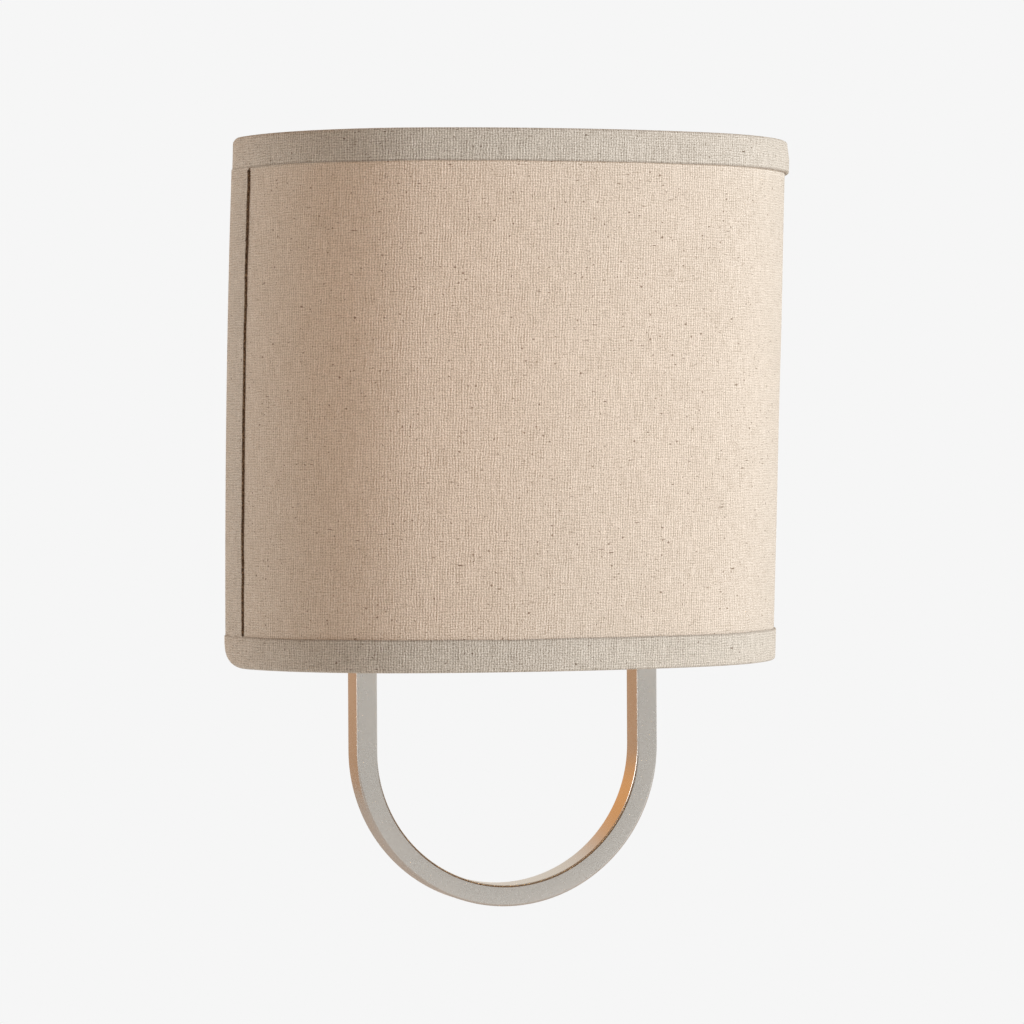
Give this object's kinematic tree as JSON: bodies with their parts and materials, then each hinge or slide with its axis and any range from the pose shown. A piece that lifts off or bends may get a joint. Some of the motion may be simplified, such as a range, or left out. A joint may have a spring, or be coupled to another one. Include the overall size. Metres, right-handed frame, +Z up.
{
  "type": "wall light",
  "caption": "Wall light with a half-round linen shade over two candle lamps, above a bent satin nickel bar loop.",
  "frame": {"origin": "centre of the wall box pattern in the plane of the wall, at the middle of the shade's height", "axes": "+X to the viewer's right, +Y into the wall, +Z up"},
  "size_m": [0.251, 0.1011, 0.3374],
  "materials": {
    "shade_cloth": "oatmeal linen weave, slubbed, lit softly from inside",
    "trim_cloth": "same linen, doubled and opaque",
    "liner_plastic": "white styrene backing",
    "frame_white": "white powder coat",
    "satin_nickel": "satin nickel plate",
    "pan_nickel": "satin nickel plate on pressed steel",
    "knob_nickel": "satin nickel plate, knurled",
    "zinc_steel": "bright zinc plate",
    "green_screw": "green dyed zinc",
    "black_plastic": "moulded nylon",
    "phenolic": "moulded phenolic",
    "contact_brass": "plain brass",
    "candle_white": "ivory card and plastic sleeve",
    "vitrite": "black glass insulator",
    "lamp_cap_nickel": "nickel plated brass cap",
    "frosted_glass": "inside frosted",
    "filament": "glass stem with a coated filament rod"
  },
  "bodies": {
    "root": {"mounting_crossbar": "zinc_steel", "pan_studs": "zinc_steel", "cap_nuts": "knob_nickel", "ground_screw": "green_screw", "back_pan": "pan_nickel", "lead_bushing": "black_plastic", "loop_bar": "satin_nickel", "loop_screws": "zinc_steel", "socket_bracket": "pan_nickel", "bracket_screws": "zinc_steel", "socket_nipples": "zinc_steel", "socket_locknuts": "zinc_steel", "shade_studs": "zinc_steel", "left_hickey": "zinc_steel", "left_socket": "phenolic", "left_screw_shell": "contact_brass", "left_centre_contact": "contact_brass", "left_candle_sleeve": "candle_white", "right_hickey": "zinc_steel", "right_socket": "phenolic", "right_screw_shell": "contact_brass", "right_centre_contact": "contact_brass", "right_candle_sleeve": "candle_white"},
    "shade": {"shade_fabric": "shade_cloth", "shade_liner": "liner_plastic", "top_trim": "trim_cloth", "bottom_trim": "trim_cloth", "left_trim": "trim_cloth", "right_trim": "trim_cloth", "top_front_wire": "frame_white", "bottom_front_wire": "frame_white", "top_rear_wire": "frame_white", "bottom_rear_wire": "frame_white", "upright_wires": "frame_white", "shade_hanger": "frame_white"},
    "left_thumb_nut": {"left_thumb_nut": "knob_nickel"},
    "right_thumb_nut": {"right_thumb_nut": "knob_nickel"},
    "left_lamp": {"left_lamp_tip": "contact_brass", "left_lamp_insulator": "vitrite", "left_lamp_cap": "lamp_cap_nickel", "left_lamp_glass": "frosted_glass", "left_lamp_filament": "filament"},
    "right_lamp": {"right_lamp_tip": "contact_brass", "right_lamp_insulator": "vitrite", "right_lamp_cap": "lamp_cap_nickel", "right_lamp_glass": "frosted_glass", "right_lamp_filament": "filament"}
  },
  "joints": [
    {"name": "shade_lift", "type": "slide", "parent": "root", "child": "shade", "axis": [0, 0, 1], "range_m": [0, 0.012]},
    {"name": "left_thumb_turn", "type": "hinge", "parent": "root", "child": "left_thumb_nut", "pos_m": [-0.04, -0.0211, 0.0968], "axis": [0, 1, 0], "continuous": true},
    {"name": "right_thumb_turn", "type": "hinge", "parent": "root", "child": "right_thumb_nut", "pos_m": [0.04, -0.0211, 0.0968], "axis": [0, 1, 0], "continuous": true},
    {"name": "left_lamp_turn", "type": "hinge", "parent": "root", "child": "left_lamp", "pos_m": [-0.046, -0.056, -0.0235], "axis": [0, 0, 1], "continuous": true},
    {"name": "right_lamp_turn", "type": "hinge", "parent": "root", "child": "right_lamp", "pos_m": [0.046, -0.056, -0.0235], "axis": [0, 0, 1], "continuous": true}
  ]
}
